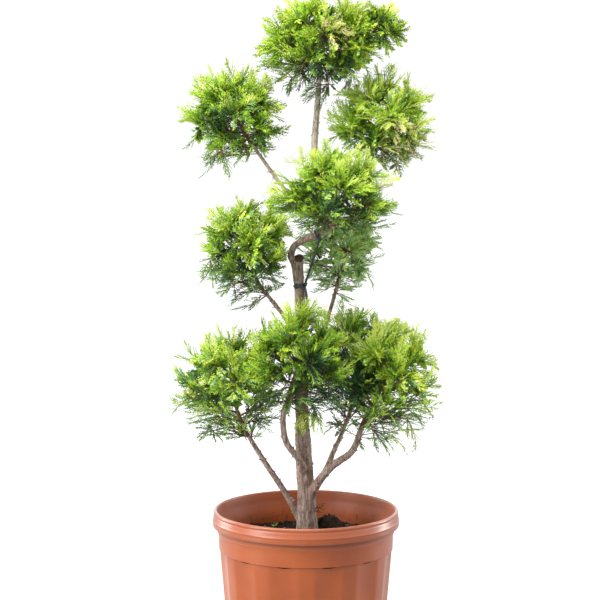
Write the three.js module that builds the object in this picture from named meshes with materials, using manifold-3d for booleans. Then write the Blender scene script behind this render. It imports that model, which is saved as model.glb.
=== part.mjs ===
// A potted Leyland cypress with gold-green leaves, trained as a pompon tree.
// Millimetres, +Z up. The origin is the middle of the pot's underside, and -Y is the front.

import * as THREE from 'three';
import { mergeVertices } from 'three/addons/utils/BufferGeometryUtils.js';
import Module from 'manifold-3d';

const wasm = await Module();
wasm.setup();

// Gap that neighbouring pieces keep
const CLEARANCE = 0.3;

// Pot: a moulded tub with an overhanging rim, a plain collar under it and shallow flutes below
const POT_HEIGHT = 240;
const RIM_RADIUS = 140;
const RIM_DEPTH = 24;
const RIM_OVERHANG = 6.2;
const RIM_HOLLOW = 1.5;
const MOUTH_RADIUS = 133.6;
const COLLAR_RADIUS = 131.4;
const COLLAR_TAPER = 0.02;
const COLLAR_FOOT = 181;
const COLLAR_STEP = 1.2;
const WALL_TAPER = 0.085;
const WALL = 2.5;
const FLOOR = 3.5;
const FOOT_CHAMFER = 3;
const FLUTE_COUNT = 12;
const FLUTE_DEPTH = 3;
const FLUTE_FOOT = 18;
const FLUTE_TOP = COLLAR_FOOT - 0.5;
const FLUTE_RUN_OUT = 5;
const POT_SIDES = 48;
const DRAIN_COUNT = 6;
const DRAIN_RADIUS = 6;
const DRAIN_CIRCLE = 84;
const DRAIN_SIDES = 8;

// Soil: filled to well under the rim, with a mound behind the trunk, and level under the trunk itself
const SOIL_LEVEL = 194;
const SOIL_SEED = 5;
const SOIL_SIDES = 24;
const SOIL_LUMP = 2.5;
const SOIL_SEAT_RADIUS = 27;
const SOIL_RINGS = [102, 78, 58, 40, SOIL_SEAT_RADIUS];
const MOUND = { x: 34, y: 34, radius: 50, height: 29 };

// Trunk: its middle line from just under the level cut to the tip, and its radius at some heights.
// Where the old leader was cut off, a side shoot took over and makes the bend
const TRUNK_LINE = [
  [2, 0, SOIL_LEVEL - 8],
  [0.9, 0, 253],
  [-4.4, 0, 344],
  [-8, 0, 500],
  [-10.5, 0, 580],
  [-16, -4, 607],
  [-22, -10, 622],
  [-17, -16, 637],
  [0, -22, 648],
  [20, -27, 657],
  [33, -24, 677],
  [27, -12, 704],
  [14, -2, 736],
  [12, 0, 775],
  [18.2, 0, 865],
  [20.5, 0, 915],
];
const TRUNK_GIRTH = [
  [SOIL_LEVEL, 20],
  [212, 16],
  [255, 13.4],
  [340, 12],
  [372, 10],
  [560, 8],
  [592, 7.4],
  [614, 5],
  [800, 4.8],
  [836, 4.4],
  [915, 3],
];
const TRUNK_SIDES = 10;
const TRUNK_RINGS = 38;
const CUT_LEADER = bough('cut_leader', 7.4, 6.4, [[-10.4, 0, 575], [-10.6, -1, 600], [-10.4, -5, 621]]);

// Boughs: each one tapering limb, from the middle of the limb that bears it to its mass
const BOUGH_SIDES = 6;
const BOUGH_RING_STEP = 30;
const BOUGHS = [
  bough('lower_left', 6, 3.6, [[0, 0, 203], [-24, -1, 253], [-60, -4, 309], [-86, -7, 352]]),
  bough('lower_right', 8, 4.6, [[1, 0, 236], [14, -13, 276], [38, -19, 308], [68, -21, 331], [83, -22, 368]]),
  bough('lower_back', 5, 3.2, [[27, -14, 294], [32, 4, 301], [41, 18, 322], [52, 32, 343], [64, 47, 370]]),
  bough('lower_front', 6, 4.2, [
    [-1, 0, 288],
    [-10, -20, 318],
    [-29, -28, 346],
    [-34, -33, 385],
    [-27, -46, 413],
  ]),
  bough('mid_back', 4, 3, [[-7, 0, 425], [18, 20, 481], [34, 28, 529], [49, 34, 580]]),
  bough('mid_left', 4, 3, [[-8, 0, 478], [-27, -5, 523], [-64, -7, 572]]),
  bough('centre', 4.2, 3.4, [[18, -26, 656], [32, -34, 661], [41, -46, 671]]),
  bough('upper_left', 3.8, 2.8, [[31, -25, 672], [10, -12, 686], [-24, -5, 712], [-78, -7, 784]]),
  bough('upper_right', 3.6, 2.6, [[28, -13, 702], [48, 3, 726], [92, 18, 779]]),
];

// Masses of foliage: each fills its lobes, and grows from the tip of the bough of the same name
const MASSES = [
  mass('top', 11, [lobe([21, 0, 930], [92, 80, 77], 13), lobe([100, -5, 952], [54, 48, 40], 4)]),
  mass('upper_left', 22, [lobe([-106, -10, 823], [77, 74, 78], 11)]),
  mass('upper_right', 33, [lobe([114, 25, 816], [77, 74, 82], 11)]),
  mass('centre', 44, [lobe([41, -75, 714], [88, 78, 77], 12)]),
  mass('mid_left', 55, [lobe([-91, -10, 630], [71, 70, 80], 11)]),
  mass('mid_back', 66, [lobe([51, 55, 621], [68, 64, 72], 10)]),
  mass('lower_left', 77, [lobe([-114, -10, 424], [85, 78, 90], 12)]),
  mass('lower_front', 88, [lobe([-9, -80, 468], [77, 72, 86], 11)]),
  mass('lower_right', 99, [lobe([121, -25, 432], [76, 74, 94], 12)]),
  mass('lower_back', 110, [lobe([74, 85, 446], [78, 76, 92], 12)]),
];

function bough(place, fromRadius, toRadius, line) {
  return { name: `${place}_bough`, fromRadius, toRadius, line };
}

// The top mass grows from the trunk's tip
function mass(place, seed, lobes) {
  return { name: `${place}_foliage`, bearer: place === 'top' ? 'trunk' : `${place}_bough`, seed, lobes };
}

function lobe(centre, radii, twigs) {
  return { centre, radii, twigs };
}

// How a mass grows: a dense core on its stem, twigs out of the core, and three sprays on each twig.
// Reaches are shares of a lobe's radii, so 1 is the lobe's skin
const GOLDEN_ANGLE = Math.PI * (3 - Math.sqrt(5));
const CORE_SHARE = 0.6;
const CORE_LIFT = 0.12;
const STEM_BEND = 0.35;
const STEM_END_RADIUS = 2;
const TWIG_RADIUS = 3;
const TWIG_START = 0.4;
const TWIG_OVERSHOOT = 1.25;
const FORK_REACH = 0.6;
const SPRAYS_PER_TWIG = 3;
const SPRAY_SPREAD = 0.46;
const SPRAY_LIFT = 0.1;
const SPRAY_ROOT_PULL = 0.12;
const SPRAY_REACH_MIN = 0.98;
const SPRAY_REACH_RANGE = 0.12;
const LOWEST_SPRAY = 0.75;

// A spray that is in the way is tried shorter, and then left out
const SPRAY_TRIES = [1, 0.82, 0.66];
const OUTER_LIMIT = 1.15;
const NEIGHBOUR_MARGIN = 0.04;
const LIMB_MARGIN = 2;

// One spray: its outline as shares of its length along it and of its width across it
const SPRAY_WIDTH_RATIO = 0.8;
const SPRAY_THICKNESS_RATIO = 0.16;
const SPRAY_OUTLINE = [
  [0, 0],
  [0.62, 0.5],
  [0.58, 0.2],
  [1, 0],
  [0.58, -0.2],
  [0.62, -0.5],
];
const SPRAY_RIDGE = 0.4;

// Training tie: a soft strand that holds the trunk's bend down to a band round the trunk
const TIE_BAND_HEIGHT = 577;
const TIE_BAND_DEPTH = 8;
const TIE_BAND_WALL = 1.8;
const TIE_RADIUS = 1.7;
const TIE_STRAND = [[-1.8, -3, 578], [9, -12, 612], [18, -25, 642], [19, -30, 652]];
const TIE_END = [[-1.8, -3.5, 576], [1, -6, 562], [3, -6, 545]];

const COLOURS = {
  pot: '#c87347',
  soil: '#3a2a20',
  bark: '#8a7464',
  foliage: '#6f9a1e',
  tie: '#1d2620',
};

// Solids from geometry

function toSolid(geometry) {
  const plain = geometry.clone();
  plain.deleteAttribute('normal');
  plain.deleteAttribute('uv');
  const merged = mergeVertices(plain, 1e-4);
  const points = merged.attributes.position.array;
  const corners = merged.index.array;
  const kept = [];
  let volume = 0;
  for (let i = 0; i < corners.length; i += 3) {
    const [a, b, c] = corners.slice(i, i + 3);
    if (a === b || b === c || c === a) {
      continue;
    }
    kept.push(a, b, c);
    const [p, q, r] = [a, b, c].map((k) => new THREE.Vector3().fromArray(points, 3 * k));
    volume += p.dot(q.cross(r));
  }
  if (volume < 0) {
    kept.reverse();
  }
  return new wasm.Manifold(
    new wasm.Mesh({
      numProp: 3,
      vertProperties: Float32Array.from(points),
      triVerts: Uint32Array.from(kept),
    }),
  );
}

function largestPiece(solid) {
  const pieces = solid.decompose();
  return pieces.reduce((best, piece) => (piece.volume() > best.volume() ? piece : best));
}

function toMesh(name, solid, colour, roughness) {
  const source = largestPiece(solid).getMesh();
  const geometry = new THREE.BufferGeometry();
  geometry.setAttribute('position', new THREE.BufferAttribute(Float32Array.from(source.vertProperties), 3));
  geometry.setIndex(new THREE.BufferAttribute(Uint32Array.from(source.triVerts), 1));
  geometry.computeVertexNormals();
  const material = new THREE.MeshStandardMaterial({ color: colour, roughness, metalness: 0 });
  const mesh = new THREE.Mesh(geometry, material);
  mesh.name = name;
  return mesh;
}

function moveVertices(geometry, move) {
  const position = geometry.attributes.position;
  const point = new THREE.Vector3();
  for (let i = 0; i < position.count; i += 1) {
    point.fromBufferAttribute(position, i);
    move(point, i);
    position.setXYZ(i, point.x, point.y, point.z);
  }
  return geometry;
}

function turned(profile, sides) {
  const points = profile.map(([radius, height]) => new THREE.Vector2(radius, height));
  return new THREE.LatheGeometry(points, sides).rotateX(Math.PI / 2);
}

// The same even random numbers each time, from a seed
function randomSource(seed) {
  let state = seed >>> 0;
  return () => {
    state = (Math.imul(state, 1664525) + 1013904223) >>> 0;
    return state / 4294967296;
  };
}

// Pot and soil

function wallRadius(height) {
  if (height >= COLLAR_FOOT) {
    return COLLAR_RADIUS - COLLAR_TAPER * (POT_HEIGHT - RIM_DEPTH - height);
  }
  return wallRadius(COLLAR_FOOT) - COLLAR_STEP - WALL_TAPER * (COLLAR_FOOT - height);
}

function fluteDepth(point) {
  const full = point.z >= FLUTE_FOOT + FLUTE_RUN_OUT && point.z <= FLUTE_TOP;
  const phase = (Math.atan2(point.x, -point.y) / (2 * Math.PI)) * FLUTE_COUNT + FLUTE_COUNT;
  const fromMiddle = Math.abs((phase % 1) - 0.5);
  return full && fromMiddle < 0.25 ? FLUTE_DEPTH * Math.cos(2 * Math.PI * fromMiddle) ** 2 : 0;
}

function makePot() {
  const rimFoot = POT_HEIGHT - RIM_DEPTH;
  const inset = RIM_RADIUS - RIM_OVERHANG;
  const wallHeights = [FLUTE_FOOT, FLUTE_FOOT + FLUTE_RUN_OUT, FLUTE_TOP, COLLAR_FOOT, rimFoot - 16];
  const outer = wallHeights.map((height) => [wallRadius(height), height]);
  const inner = wallHeights.map((height) => [wallRadius(height) - WALL, height]);
  inner[0] = [wallRadius(FLOOR) - WALL, FLOOR];
  const profile = [
    [0, 0],
    [wallRadius(0) - FOOT_CHAMFER, 0],
    [wallRadius(FOOT_CHAMFER), FOOT_CHAMFER],
    ...outer,
    [inset, rimFoot - 8],
    [inset, rimFoot + RIM_HOLLOW],
    [RIM_RADIUS - 2.6, rimFoot + RIM_HOLLOW],
    [RIM_RADIUS - 1.5, rimFoot - 0.3],
    [RIM_RADIUS, rimFoot + 1.2],
    [RIM_RADIUS - 1, rimFoot + 15],
    [RIM_RADIUS - 1.6, POT_HEIGHT - 2.6],
    [RIM_RADIUS - 4.2, POT_HEIGHT],
    [MOUTH_RADIUS, POT_HEIGHT - 1.5],
    [MOUTH_RADIUS - 1, rimFoot + 12],
    ...inner.reverse(),
    [0, FLOOR],
  ];
  const shell = moveVertices(turned(profile, POT_SIDES), (point) => {
    const depth = fluteDepth(point);
    const radius = Math.hypot(point.x, point.y);
    if (depth > 0 && radius > 1) {
      point.x *= (radius - depth) / radius;
      point.y *= (radius - depth) / radius;
    }
  });
  let pot = toSolid(shell);
  for (let i = 0; i < DRAIN_COUNT; i += 1) {
    const angle = (i / DRAIN_COUNT) * 2 * Math.PI;
    const hole = new THREE.CylinderGeometry(DRAIN_RADIUS, DRAIN_RADIUS, 4 * FLOOR, DRAIN_SIDES);
    hole.rotateX(Math.PI / 2);
    hole.translate(DRAIN_CIRCLE * Math.cos(angle), DRAIN_CIRCLE * Math.sin(angle), 0);
    pot = pot.subtract(toSolid(hole));
  }
  return pot;
}

function soilHeight(x, y, random) {
  const fromTrunk = Math.hypot(x - TRUNK_LINE[0][0], y - TRUNK_LINE[0][1]);
  const fromMound = Math.hypot(x - MOUND.x, y - MOUND.y) / MOUND.radius;
  const mound = fromMound < 1 ? MOUND.height * Math.cos((fromMound * Math.PI) / 2) ** 2 : 0;
  const lump = -2 * SOIL_LUMP * random();
  return fromTrunk < 1.15 * SOIL_SEAT_RADIUS ? -CLEARANCE : mound + lump;
}

function makeSoil() {
  const random = randomSource(SOIL_SEED);
  const shoulder = COLLAR_FOOT + 2;
  const fit = (height, depth) => wallRadius(height) - WALL - CLEARANCE - depth;
  const edge = fit(SOIL_LEVEL, 0);
  const profile = [
    [0, FLOOR + CLEARANCE],
    [fit(FLOOR + CLEARANCE, FLUTE_DEPTH), FLOOR + CLEARANCE],
    [fit(FLUTE_TOP, FLUTE_DEPTH), FLUTE_TOP],
    [fit(shoulder, 0), shoulder],
    [edge, SOIL_LEVEL - 2 * SOIL_LUMP],
    ...SOIL_RINGS.map((radius) => [radius, SOIL_LEVEL]),
    [0, SOIL_LEVEL],
  ];
  const seen = new Map();
  const lumpy = moveVertices(turned(profile, SOIL_SIDES), (point) => {
    if (point.z === SOIL_LEVEL) {
      const key = `${Math.round(point.x)},${Math.round(point.y)}`;
      if (!seen.has(key)) {
        seen.set(key, soilHeight(point.x, point.y, random));
      }
      point.z += seen.get(key);
    }
  });
  return toSolid(lumpy);
}

// Limbs

function alongList(list, height) {
  const above = list.findIndex(([z]) => z > height);
  const i = above < 0 ? list.length - 2 : Math.max(0, above - 1);
  const part = THREE.MathUtils.clamp((height - list[i][0]) / (list[i + 1][0] - list[i][0]), 0, 1);
  return THREE.MathUtils.lerp(list[i][1], list[i + 1][1], part);
}

function curveThrough(line) {
  return new THREE.CatmullRomCurve3(line.map((point) => new THREE.Vector3(...point)));
}

// A tapering limb: a turned stick bent along its curve. grow makes it thicker and longer
function limbSolid(limb, grow = 0) {
  const { curve, radiusAt, sides, rings } = limb;
  const profile = [new THREE.Vector2(0, 0)];
  for (let i = 0; i <= rings; i += 1) {
    profile.push(new THREE.Vector2(radiusAt(i / rings) + grow, i));
  }
  profile.push(new THREE.Vector2(0, rings));
  const frames = curve.computeFrenetFrames(rings, false);
  const bent = moveVertices(new THREE.LatheGeometry(profile, sides), (point) => {
    const ring = Math.round(point.y);
    const across = frames.normals[ring].clone().multiplyScalar(point.x);
    const beside = frames.binormals[ring].clone().multiplyScalar(point.z);
    const overrun = ring === 0 ? -grow : ring === rings ? grow : 0;
    point.copy(curve.getPointAt(ring / rings)).add(across).add(beside);
    point.addScaledVector(frames.tangents[ring], overrun);
  });
  return toSolid(bent);
}

// The trunk ends in a level cut on the soil
function cutLevel(solid) {
  const depth = 40;
  const ground = new THREE.BoxGeometry(200, 200, depth);
  ground.translate(0, 0, SOIL_LEVEL - depth / 2);
  return solid.subtract(toSolid(ground));
}

function makeTrunkLimb() {
  const curve = curveThrough(TRUNK_LINE);
  return {
    name: 'trunk',
    curve,
    sides: TRUNK_SIDES,
    rings: TRUNK_RINGS,
    radiusAt: (part) => alongList(TRUNK_GIRTH, curve.getPointAt(part).z),
  };
}

function makeBoughLimb({ name, fromRadius, toRadius, line }) {
  const curve = curveThrough(line);
  return {
    name,
    curve,
    sides: BOUGH_SIDES,
    rings: Math.ceil(curve.getLength() / BOUGH_RING_STEP) + 2,
    radiusAt: (part) => THREE.MathUtils.lerp(fromRadius, toRadius, part),
  };
}

// The trunk is one piece with the stump of its old leader
function trunkSolid(limb, stump, grow = 0) {
  return limbSolid(limb, grow).add(limbSolid(stump, grow));
}

function distanceToLimb(limb, point) {
  const nearest = new THREE.Vector3();
  const segment = new THREE.Line3();
  let best = Infinity;
  limb.samples.forEach((sample, i) => {
    if (i > 0) {
      segment.set(limb.samples[i - 1].point, sample.point);
      segment.closestPointToPoint(point, true, nearest);
      best = Math.min(best, nearest.distanceTo(point) - sample.radius);
    }
  });
  return best;
}

function addSamples(limb) {
  const count = 2 * limb.rings;
  limb.samples = [];
  for (let i = 0; i <= count; i += 1) {
    limb.samples.push({ point: limb.curve.getPointAt(i / count), radius: limb.radiusAt(i / count) });
  }
  return limb;
}

// Foliage

// How far out a point lies in a mass: 0 at a lobe's centre and 1 on its skin
function reachIn(mass, point) {
  const shares = mass.lobes.map(({ centre, radii }) => {
    const offset = point.clone().sub(new THREE.Vector3(...centre));
    return offset.divide(new THREE.Vector3(...radii)).length();
  });
  return Math.min(...shares);
}

function isFree(mass, point, limbs) {
  const own = reachIn(mass, point);
  const inside = own < OUTER_LIMIT;
  const ownSide = MASSES.every((other) => other === mass || reachIn(other, point) > own + NEIGHBOUR_MARGIN);
  return inside && ownSide && limbs.every((limb) => distanceToLimb(limb, point) > LIMB_MARGIN);
}

function onLobe(lobe, direction, reach) {
  return new THREE.Vector3(...lobe.centre).add(
    new THREE.Vector3(...lobe.radii).multiply(direction).multiplyScalar(reach),
  );
}

// Two directions square to the given one and to each other
function sideways(direction) {
  const helper = Math.abs(direction.z) < 0.9 ? new THREE.Vector3(0, 0, 1) : new THREE.Vector3(1, 0, 0);
  const first = new THREE.Vector3().crossVectors(helper, direction).normalize();
  const second = new THREE.Vector3().crossVectors(direction, first);
  return [first, second];
}

// The seeded branching of one lobe: even directions for the twigs, and a fan of sprays on each
function branchLobe(lobe, hub, random) {
  const twigs = [];
  const turn = random() * 2 * Math.PI;
  for (let i = 0; i < lobe.twigs; i += 1) {
    const lift = 1 - (2 * (i + 0.5)) / lobe.twigs;
    const angle = turn + i * GOLDEN_ANGLE;
    const flat = Math.sqrt(1 - lift * lift);
    const direction = new THREE.Vector3(flat * Math.cos(angle), flat * Math.sin(angle), lift);
    const fork = onLobe(lobe, direction, FORK_REACH);
    const [first, second] = sideways(direction);
    const lowest = lobe.centre[2] - LOWEST_SPRAY * lobe.radii[2];
    const spin = random() * 2 * Math.PI;
    const sprays = [];
    for (let k = 0; k < SPRAYS_PER_TWIG; k += 1) {
      const around = spin + (k / SPRAYS_PER_TWIG) * 2 * Math.PI;
      const aim = direction
        .clone()
        .addScaledVector(first, SPRAY_SPREAD * Math.cos(around))
        .addScaledVector(second, SPRAY_SPREAD * Math.sin(around));
      aim.z += SPRAY_LIFT;
      aim.normalize();
      const tip = onLobe(lobe, aim, SPRAY_REACH_MIN + SPRAY_REACH_RANGE * random());
      tip.z = Math.max(tip.z, lowest);
      const roll = random() * Math.PI;
      sprays.push({ root: fork.clone().lerp(hub, SPRAY_ROOT_PULL), tip, roll });
    }
    twigs.push({ fork, sprays });
  }
  return twigs;
}

function sprayPoint(spray, along, across, above) {
  const axis = spray.tip.clone().sub(spray.root);
  const length = axis.length();
  const [first, second] = sideways(axis.clone().normalize());
  const side = first.multiplyScalar(Math.cos(spray.roll)).addScaledVector(second, Math.sin(spray.roll));
  const up = new THREE.Vector3().crossVectors(axis, side).normalize();
  return spray.root
    .clone()
    .addScaledVector(axis, along)
    .addScaledVector(side, across * length * SPRAY_WIDTH_RATIO)
    .addScaledVector(up, above * length);
}

// A toothed blade: a sphere of two bands, with its poles on the ridge and its middle ring on the outline
function spraySolid(spray) {
  const sides = SPRAY_OUTLINE.length;
  const geometry = new THREE.SphereGeometry(1, sides, 2);
  const uv = geometry.attributes.uv;
  moveVertices(geometry, (point, i) => {
    const [along, across] = SPRAY_OUTLINE[(Math.round(uv.getX(i) * sides) + sides) % sides];
    const isRidge = Math.abs(point.y) > 0.5;
    const above = (isRidge ? Math.sign(point.y) * SPRAY_THICKNESS_RATIO : 0) / 2;
    point.copy(isRidge ? sprayPoint(spray, SPRAY_RIDGE, 0, above) : sprayPoint(spray, along, across, 0));
  });
  return toSolid(geometry);
}

function sprayIsFree(mass, spray, limbs) {
  const ridge = [0.25, 0.5, 0.75].map((along) => sprayPoint(spray, along, 0, 0));
  const outline = SPRAY_OUTLINE.map(([along, across]) => sprayPoint(spray, along, across, 0));
  return [...ridge, ...outline].every((point) => isFree(mass, point, limbs));
}

function fitSpray(mass, spray, limbs) {
  const tries = SPRAY_TRIES.map((share) => ({ ...spray, tip: spray.root.clone().lerp(spray.tip, share) }));
  return tries.find((shorter) => sprayIsFree(mass, shorter, limbs));
}

function twigSolid(from, to, radius) {
  const axis = to.clone().sub(from);
  const cone = new THREE.ConeGeometry(radius, axis.length(), 3);
  cone.translate(0, axis.length() / 2, 0);
  const turn = new THREE.Quaternion().setFromUnitVectors(new THREE.Vector3(0, 1, 0), axis.normalize());
  cone.applyQuaternion(turn);
  cone.translate(from.x, from.y, from.z);
  return toSolid(cone);
}

function coreCentre({ centre, radii }) {
  return new THREE.Vector3(centre[0], centre[1], centre[2] + CORE_LIFT * radii[2]);
}

function coreSolid(lobe) {
  const core = new THREE.IcosahedronGeometry(1, 1);
  core.scale(...lobe.radii.map((radius) => radius * CORE_SHARE));
  core.translate(...coreCentre(lobe));
  return toSolid(core);
}

// The stem runs on from its bearer's tip, a clearance away, to the middle of the core
function stemSolid(bearer, hub) {
  const tip = bearer.curve.getPointAt(1);
  const heading = bearer.curve.getTangentAt(1);
  const start = tip.clone().addScaledVector(heading, CLEARANCE);
  const bend = tip.clone().addScaledVector(heading, STEM_BEND * hub.distanceTo(tip));
  const tipRadius = bearer.radiusAt(1);
  return limbSolid({
    curve: new THREE.QuadraticBezierCurve3(start, bend, hub),
    radiusAt: (part) => THREE.MathUtils.lerp(tipRadius, STEM_END_RADIUS, part),
    sides: 6,
    rings: 3,
  });
}

function clearsLimbs(solid, grownLimbs) {
  return grownLimbs.every((grown) => grown.intersect(solid).isEmpty());
}

// One twig and the sprays on it, or nothing where the twig would be in the way
function twigParts(mass, hub, twig, limbs, grownLimbs) {
  const along = (part) => hub.clone().lerp(twig.fork, part);
  const stick = twigSolid(along(TWIG_START), along(TWIG_OVERSHOOT), TWIG_RADIUS);
  const inSpace = [TWIG_START, 1, TWIG_OVERSHOOT].every((part) => isFree(mass, along(part), limbs));
  const sprays = twig.sprays
    .map((spray) => fitSpray(mass, spray, limbs))
    .filter(Boolean)
    .map(spraySolid)
    .filter((solid) => clearsLimbs(solid, grownLimbs));
  return inSpace && sprays.length > 0 && clearsLimbs(stick, grownLimbs) ? [stick, ...sprays] : [];
}

function makeMass(mass, limbs, grownLimbs) {
  const random = randomSource(mass.seed);
  const bearer = limbs.find((limb) => limb.name === mass.bearer);
  const hubs = mass.lobes.map(coreCentre);
  const branching = mass.lobes.map((lobe, i) => branchLobe(lobe, hubs[i], random));
  let solid = mass.lobes.map(coreSolid).reduce((sum, core) => sum.add(core), stemSolid(bearer, hubs[0]));
  solid = grownLimbs.reduce((rest, grown) => rest.subtract(grown), solid);
  branching.forEach((twigs, i) => {
    const parts = twigs.flatMap((twig) => twigParts(mass, hubs[i], twig, limbs, grownLimbs));
    solid = parts.reduce((sum, part) => sum.add(part), solid);
  });
  return solid;
}

// Training tie

function makeStrand(line) {
  return { curve: curveThrough(line), radiusAt: () => TIE_RADIUS, sides: 5, rings: 4 };
}

function middleAtHeight(limb, height) {
  const above = limb.samples.findIndex(({ point }) => point.z > height);
  const [low, high] = [limb.samples[above - 1].point, limb.samples[above].point];
  return low.clone().lerp(high, (height - low.z) / (high.z - low.z));
}

function makeTie(trunk, strands, grownLimbs) {
  const middle = middleAtHeight(trunk, TIE_BAND_HEIGHT);
  const radius = alongList(TRUNK_GIRTH, TIE_BAND_HEIGHT) + TIE_BAND_WALL;
  const band = new THREE.CylinderGeometry(radius, radius, TIE_BAND_DEPTH, TRUNK_SIDES).rotateX(Math.PI / 2);
  band.translate(middle.x, middle.y, TIE_BAND_HEIGHT);
  const whole = strands.reduce((sum, strand) => sum.add(limbSolid(strand)), toSolid(band));
  return grownLimbs.reduce((rest, grown) => rest.subtract(grown), whole);
}

// The whole plant

const trunk = makeTrunkLimb();
const stump = makeBoughLimb(CUT_LEADER);
const limbs = [trunk, ...BOUGHS.map(makeBoughLimb)].map(addSamples);
const bearers = limbs.slice(1);
const withClearance = (limb) => limbSolid(limb, CLEARANCE);
const limbSolids = [cutLevel(trunkSolid(trunk, stump)), ...bearers.map((limb) => cutLevel(limbSolid(limb)))];
const grownLimbs = [trunkSolid(trunk, stump, CLEARANCE), ...bearers.map(withClearance)];
const strands = [TIE_STRAND, TIE_END].map(makeStrand).map(addSamples);

// A bough is cut back to a clearance from the limbs before it in the list
const plant = new THREE.Group();
plant.add(toMesh('pot', makePot(), COLOURS.pot, 0.45));
plant.add(toMesh('soil', makeSoil(), COLOURS.soil, 0.95));
limbs.forEach((limb, i) => {
  const cut = grownLimbs.slice(0, i).reduce((solid, grown) => solid.subtract(grown), limbSolids[i]);
  plant.add(toMesh(limb.name, cut, COLOURS.bark, 0.85));
});
plant.add(toMesh('training_tie', makeTie(trunk, strands, grownLimbs), COLOURS.tie, 0.6));

// The masses keep clear of the limbs and of the tie
const inTheWay = [...limbs, ...strands];
const grownInTheWay = [...grownLimbs, ...strands.map(withClearance)];
MASSES.forEach((mass) => {
  plant.add(toMesh(mass.name, makeMass(mass, inTheWay, grownInTheWay), COLOURS.foliage, 0.6));
});

export default plant;
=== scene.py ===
"""A potted Leyland cypress with gold-green leaves, trained as a pompon tree.

Sizes and places are in millimetres, +Z up, with -Y to the front, and meshes turn them into metres.
Materials and lights are in metres.
"""

import math
from collections import namedtuple

import bpy
import numpy as np
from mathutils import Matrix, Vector, noise
from mathutils.kdtree import KDTree


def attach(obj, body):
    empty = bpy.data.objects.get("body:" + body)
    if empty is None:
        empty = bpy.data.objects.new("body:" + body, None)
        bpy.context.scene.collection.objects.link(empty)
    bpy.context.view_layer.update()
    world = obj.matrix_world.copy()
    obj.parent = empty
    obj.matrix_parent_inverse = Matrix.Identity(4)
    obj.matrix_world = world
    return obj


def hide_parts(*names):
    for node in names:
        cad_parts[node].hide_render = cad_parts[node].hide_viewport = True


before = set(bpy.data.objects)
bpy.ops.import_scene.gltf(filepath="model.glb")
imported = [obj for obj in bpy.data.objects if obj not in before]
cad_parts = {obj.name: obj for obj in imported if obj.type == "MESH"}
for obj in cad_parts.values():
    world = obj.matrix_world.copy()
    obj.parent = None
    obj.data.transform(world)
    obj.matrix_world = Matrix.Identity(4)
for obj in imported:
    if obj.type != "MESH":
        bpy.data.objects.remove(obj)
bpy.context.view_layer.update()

MM = 0.001
TAU = 2 * math.pi
BODY = "root"

# Camera, worked out from the rim's ellipse and the pot's sides
CAMERA_PLACE = (-8.9, -3000, 905.1)
CAMERA_PITCH = 6.65
FOCAL_PIXELS = 2035
PHOTO_WIDTH = 600

# Softboxes, in metres: place, aim, size and watts
SOFTBOXES = {
    "key": ((-2.0, -1.7, 1.7), (0, 0, 0.45), (1.0, 1.6), 57),
    "right strip": ((1.9, 0.6, 0.7), (0, 0, 0.2), (0.35, 1.4), 28),
    "left strip": ((-1.8, 0.8, 0.7), (0, 0, 0.2), (0.7, 1.4), 24),
    "low strip": ((-1.4, -0.75, 0.3), (0, 0, 0.12), (0.3, 0.5), 6),
    "top": ((-0.3, -0.7, 2.9), (0, 0, 0.5), (1.5, 1.5), 80),
}

# Pot, and how far in and up from the rim's foot its outer face goes
POT_HEIGHT = 240
RIM_DEPTH = 24
RIM_RADIUS = 140
RIM_OVERHANG = 6.2
RIM_FACE = [(0, 5), (0.3, 8.4), (0.1, 9.2), (0.5, 10), (1, 15), (1.6, 17.6), (1.9, 18.4), (1.6, 19.2)]
MOUTH_RADIUS = 133.6
COLLAR_RADIUS = 131.4
COLLAR_TAPER = 0.02
COLLAR_FOOT = 181
COLLAR_STEP = 1.2
WALL_TAPER = 0.085
WALL = 2.5
FLOOR = 3.5
FLOOR_RING = 70
FOOT_CHAMFER = 3
FLUTE_COUNT = 12
FLUTE_DEPTH = 3
FLUTE_HALF_WIDTH = 0.32
FLUTE_FOOT = 18
FLUTE_RUN_OUT = 5
POT_SIDES = 288
DRAIN_COUNT = 6
DRAIN_RADIUS = 6
DRAIN_CIRCLE = 84

# Painted shade that darkens the pot, as heights in metres: under the rim and under the collar
PAINTED_SHADE_BANDS = ((0.2075, 0.2165), (0.1785, 0.1811))
PAINTED_SHADE_EDGE = 0.0004

# Soil, and the bits of bark and fibre on it, with how common each of their colours is
SOIL_LEVEL = 194
SOIL_LUMP = 2.5
SOIL_GAP = 0.3
SOIL_SIDES = 160
SOIL_RINGS = 90
MOUND = {"x": 34, "y": 34, "radius": 50, "height": 29}
CRUMB_COUNT = 1500
CRUMB_SHARES = [0.5, 0.28, 0.15, 0.07]
CRUMB_COLOURS = [(38, 27, 21), (76, 55, 40), (120, 94, 70), (180, 166, 144)]

# Trunk: its middle line, and its radius at each height
TRUNK_LINE = [
    (2, 0, SOIL_LEVEL - 8), (0.9, 0, 253), (-4.4, 0, 344), (-8, 0, 500), (-10.5, 0, 580), (-16, -4, 607),
    (-22, -10, 622), (-17, -16, 637), (0, -22, 648), (20, -27, 657), (33, -24, 677), (27, -12, 704),
    (14, -2, 736), (12, 0, 775), (18.2, 0, 865), (20.5, 0, 915),
]
TRUNK_GIRTH = [
    (SOIL_LEVEL, 20), (212, 16), (255, 13.4), (340, 12), (372, 10), (560, 8), (592, 7.4), (614, 5),
    (800, 4.8), (836, 4.4), (915, 3),
]

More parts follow.
